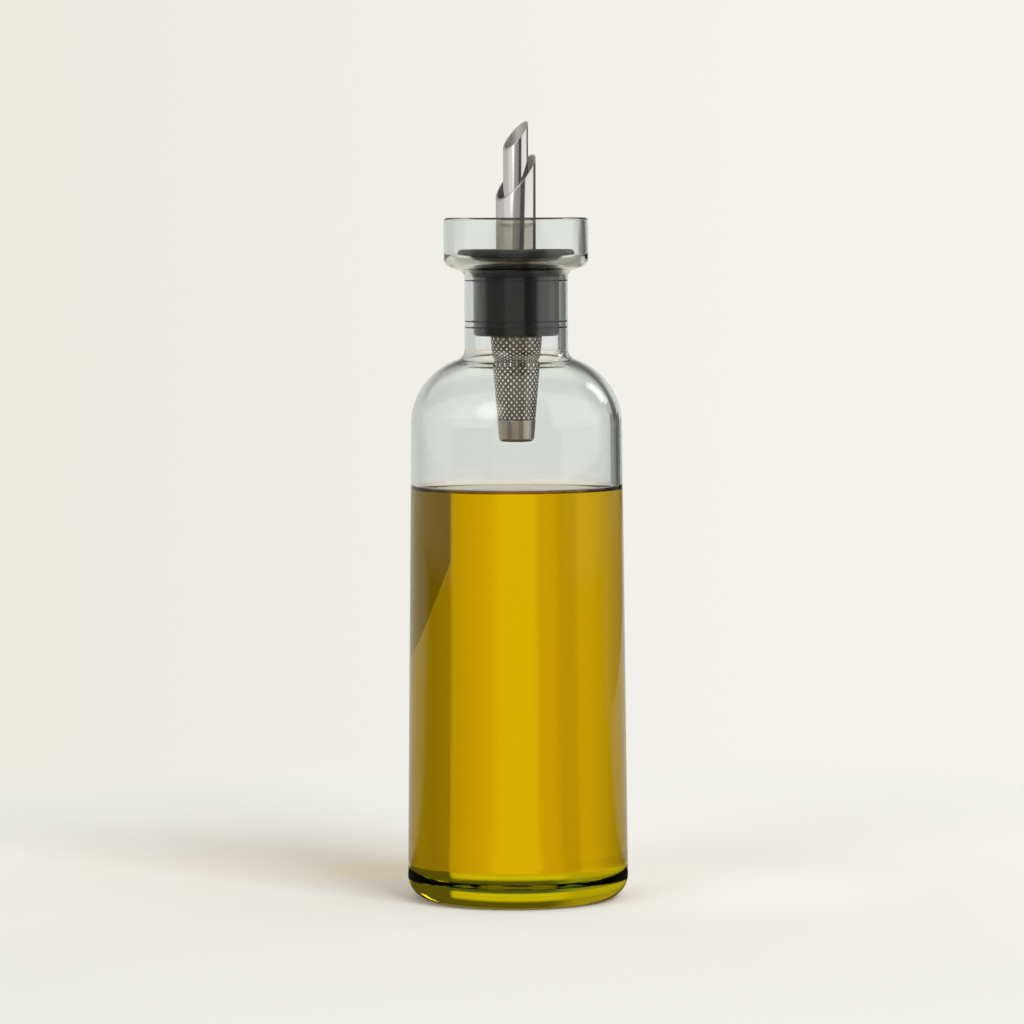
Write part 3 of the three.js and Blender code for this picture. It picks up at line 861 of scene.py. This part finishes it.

# The camera sees the lit paper near the bottle and the backdrop further out. Glass and metal see the painted
# flag shade.
away = node(tree, "ShaderNodeMath", {"operation": "ADD"}, {0: spot.outputs["Y"], 1: camera_distance})
shown = node(tree, "ShaderNodeMix", {"data_type": "RGBA"}, {
    "Factor": path.outputs["Is Camera Ray"], "A": painted_flag_shade_warm.outputs["Result"],
    "B": backdrop(tree, spot.outputs["X"], away.outputs[0])})
out = node(tree, "ShaderNodeVectorMath", {"operation": "LENGTH"}, {0: place.outputs["Object"]})
far = node(tree, "ShaderNodeMapRange", {"interpolation_type": "SMOOTHSTEP"}, {
    "Value": out.outputs["Value"], "From Min": lit_reach, "From Max": plain_reach})
seen_plain = node(tree, "ShaderNodeMath", {"operation": "MULTIPLY"}, {
    0: path.outputs["Is Camera Ray"], 1: far.outputs["Result"]})
in_glass = node(tree, "ShaderNodeMath", {"operation": "MAXIMUM"}, {
    0: path.outputs["Is Glossy Ray"], 1: path.outputs["Is Transmission Ray"]})
share = node(tree, "ShaderNodeMath", {"operation": "MAXIMUM"}, {
    0: seen_plain.outputs[0], 1: in_glass.outputs[0]})
flat = node(tree, "ShaderNodeEmission", {}, {"Color": shown.outputs["Result"]})
mixed = node(tree, "ShaderNodeMixShader", {}, {
    0: share.outputs[0], 1: lit.outputs["BSDF"], 2: flat.outputs["Emission"]})
node(tree, "ShaderNodeOutputMaterial", {}, {"Surface": mixed.outputs["Shader"]})
sweep.data.materials.append(paper)


# Studio: walls of soft light and dark gaps round the table, by degrees to the right of the camera. They stand
# in tiers from the ground up to the ceiling, and a reflector glows on the left. The camera itself sees only
# the backdrop.
upper_levels = [
    (-180, 0.15), (-168, 0.15), (-158, 0.45), (-125, 0.45), (-105, 0.60), (-78, 0.80), (-70, 1.05),
    (-27, 1.05), (-23, 0.50), (12, 0.42), (17, 0.10), (39, 0.10), (43, 1.20), (95, 1.20), (110, 0.15),
    (180, 0.15),
]
side_levels = [
    (-160, 0.62), (-140, 0.62), (-110, 0.74), (-78, 0.80), (-70, 1.05), (-27, 1.05), (-23, 0.50),
    (12, 0.42), (17, 0.10), (39, 0.10), (43, 1.35), (105, 1.35), (110, 0.15), (153.5, 0.13),
]
back_levels = [(-180, 0.86), (-166, 0.86)] + side_levels + [(155, 0.74), (165, 0.86), (180, 0.86)]
wall_levels = [(-180, 0.73), (-166, 0.73)] + side_levels + [(155, 0.67), (165, 0.73), (180, 0.73)]
strip_levels = [
    (-180, 0.81), (-166, 0.81), (-160, 0.62), (-140, 0.62), (-110, 0.72), (-80, 0.70), (-72, 0.10),
    (-29, 0.10), (-24, 0.35), (17, 0.35), (22, 0.08), (48, 0.08), (54, 0.90), (105, 0.90), (110, 0.22),
    (145, 0.22), (149, 0.07), (161, 0.07), (164, 0.81), (180, 0.81),
]
edge_levels = [
    (-180, 0.81), (-166, 0.81), (-160, 0.65), (-145, 0.63), (-125, 0.50), (-100, 0.40), (-75, 0.35),
    (-70, 0.03), (50, 0.03), (60, 0.20), (105, 0.20), (110, 0.22), (145, 0.24), (149, 0.07), (161, 0.07),
    (164, 0.81), (180, 0.81),
]
low_levels = [
    (-180, 0.81), (-150, 0.75), (-125, 0.40), (-112, 0.03), (105, 0.03), (110, 0.18), (153.5, 0.18),
    (155, 0.62), (165, 0.72), (180, 0.81),
]
ground_levels = [
    (-180, 0.81), (-150, 0.75), (-120, 0.45), (-100, 0.50), (-75, 0.50), (-62, 0.45), (-55, 0.25),
    (-32, 0.25), (-22, 0.42), (12, 0.42), (18, 0.27), (38, 0.27), (45, 0.70), (80, 0.75), (100, 0.50),
    (110, 0.15), (162, 0.15), (170, 0.81), (180, 0.81),
]
ceiling_level = 0.8
rear_start = 0.35
rear_full = 0.65
glow_level = 2.6
glow_elevation = math.radians(27)
glow_azimuth = math.radians(-33)
glow_reach = math.radians(19)
glow_core = math.radians(4)
glow_way = Euler((-glow_elevation, 0, glow_azimuth)).to_matrix() @ Vector((0, -1, 0))

world = bpy.data.worlds.new("studio")
world.use_nodes = True
bpy.context.scene.world = world
tree = world.node_tree
tree.nodes.clear()
place = node(tree, "ShaderNodeTexCoord")
faced = node(tree, "ShaderNodeMapping", {}, {
    "Vector": place.outputs["Generated"], "Rotation": (0, 0, -camera_azimuth)})
parts = node(tree, "ShaderNodeSeparateXYZ", {}, {"Vector": faced.outputs["Vector"]})
toward = node(tree, "ShaderNodeMath", {"operation": "MULTIPLY"}, {0: parts.outputs["Y"], 1: -1.0})
angle = node(tree, "ShaderNodeMath", {"operation": "ARCTAN2"}, {
    0: parts.outputs["X"], 1: toward.outputs[0]})
turn = node(tree, "ShaderNodeMapRange", {}, {
    "Value": angle.outputs[0], "From Min": -math.pi, "From Max": math.pi}).outputs["Result"]

# Behind the table the ground and the low tier are warm. Each tier takes over from the one below it between
# two elevations, in degrees.
rear = node(tree, "ShaderNodeMapRange", {}, {
    "Value": parts.outputs["Y"], "From Min": rear_start, "From Max": rear_full})
warm_ground, warm_low = [
    node(tree, "ShaderNodeMix", {"data_type": "RGBA", "blend_type": "MULTIPLY"}, {
        "Factor": rear.outputs["Result"], "A": levels_round(tree, turn, levels), "B": linear("#FFEBDB"),
    }).outputs["Result"]
    for levels in (ground_levels, low_levels)
]
tiers = [
    (warm_low, -7.5, -6.5),
    (levels_round(tree, turn, edge_levels), -3.6, -2.9),
    (levels_round(tree, turn, strip_levels), -2.0, -1.9),
    (levels_round(tree, turn, wall_levels), -0.5, 0.1),
    (levels_round(tree, turn, back_levels), 1.5, 6.0),
    (levels_round(tree, turn, upper_levels), 7, 15),
    (grey(ceiling_level), 35, 55),
]
room = warm_ground
for level, start, full in tiers:
    risen = node(tree, "ShaderNodeMapRange", {"interpolation_type": "SMOOTHSTEP"}, {
        "Value": parts.outputs["Z"], "From Min": math.sin(math.radians(start)),
        "From Max": math.sin(math.radians(full))})
    room = node(tree, "ShaderNodeMix", {"data_type": "RGBA"}, {
        "Factor": risen.outputs["Result"], "A": room, "B": level}).outputs["Result"]

near_glow = node(tree, "ShaderNodeVectorMath", {"operation": "DOT_PRODUCT"}, {
    0: faced.outputs["Vector"], 1: glow_way})
glow = node(tree, "ShaderNodeMapRange", {"interpolation_type": "SMOOTHSTEP"}, {
    "Value": near_glow.outputs["Value"], "From Min": math.cos(glow_reach), "From Max": math.cos(glow_core),
    "To Max": glow_level})
glowing = node(tree, "ShaderNodeMix", {"data_type": "RGBA", "blend_type": "ADD"}, {
    "Factor": 1.0, "A": room, "B": glow.outputs["Result"]})
tinted = node(tree, "ShaderNodeMix", {"data_type": "RGBA", "blend_type": "MULTIPLY"}, {
    "Factor": 1.0, "A": glowing.outputs["Result"], "B": linear("#FFFEFB")})
path = node(tree, "ShaderNodeLightPath")
sky = node(tree, "ShaderNodeMix", {"data_type": "RGBA"}, {
    "Factor": path.outputs["Is Camera Ray"], "A": tinted.outputs["Result"],
    "B": backdrop(tree, parts.outputs["X"], parts.outputs["Y"])})
shine = node(tree, "ShaderNodeBackground", {}, {"Color": sky.outputs["Result"]})
node(tree, "ShaderNodeOutputWorld", {}, {"Surface": shine.outputs["Background"]})


# Lamps: a wide soft key from the front right, which throws the shadow back to the left, and a small rim light
# behind on the right. Only the rim light shows in glass and metal.
def softbox(name, azimuth, elevation, distance, width, height, radiance):
    """An area lamp that faces the bottle. The azimuth is in degrees to the right of the camera."""
    lamp = bpy.data.lights.new(name, "AREA")
    lamp.shape = "RECTANGLE"
    lamp.size = width
    lamp.size_y = height
    lamp.energy = radiance * math.pi * width * height
    turn = camera_azimuth + math.radians(azimuth)
    rise = math.radians(elevation)
    way = Vector((math.sin(turn) * math.cos(rise), -math.cos(turn) * math.cos(rise), math.sin(rise)))
    box = bpy.data.objects.new(name, lamp)
    box.location = way * distance + Vector((0, 0, body_height / 2))
    box.rotation_mode = "QUATERNION"
    box.rotation_quaternion = way.to_track_quat("Z", "Y")
    box.visible_camera = False
    bpy.context.scene.collection.objects.link(box)
    return box


key = softbox("key", azimuth=33, elevation=37, distance=4.0, width=2.0, height=1.8, radiance=8.8)
key.visible_glossy = False
key.visible_transmission = False
softbox("rim", azimuth=127, elevation=28, distance=1.2, width=0.2, height=0.4, radiance=3.0)

# Light crosses many faces of glass and oil, so it may bounce often.
bounces = 24
scene = bpy.context.scene
scene.view_settings.view_transform = "Standard"
scene.cycles.use_denoising = True
scene.cycles.max_bounces = bounces
scene.cycles.transmission_bounces = bounces
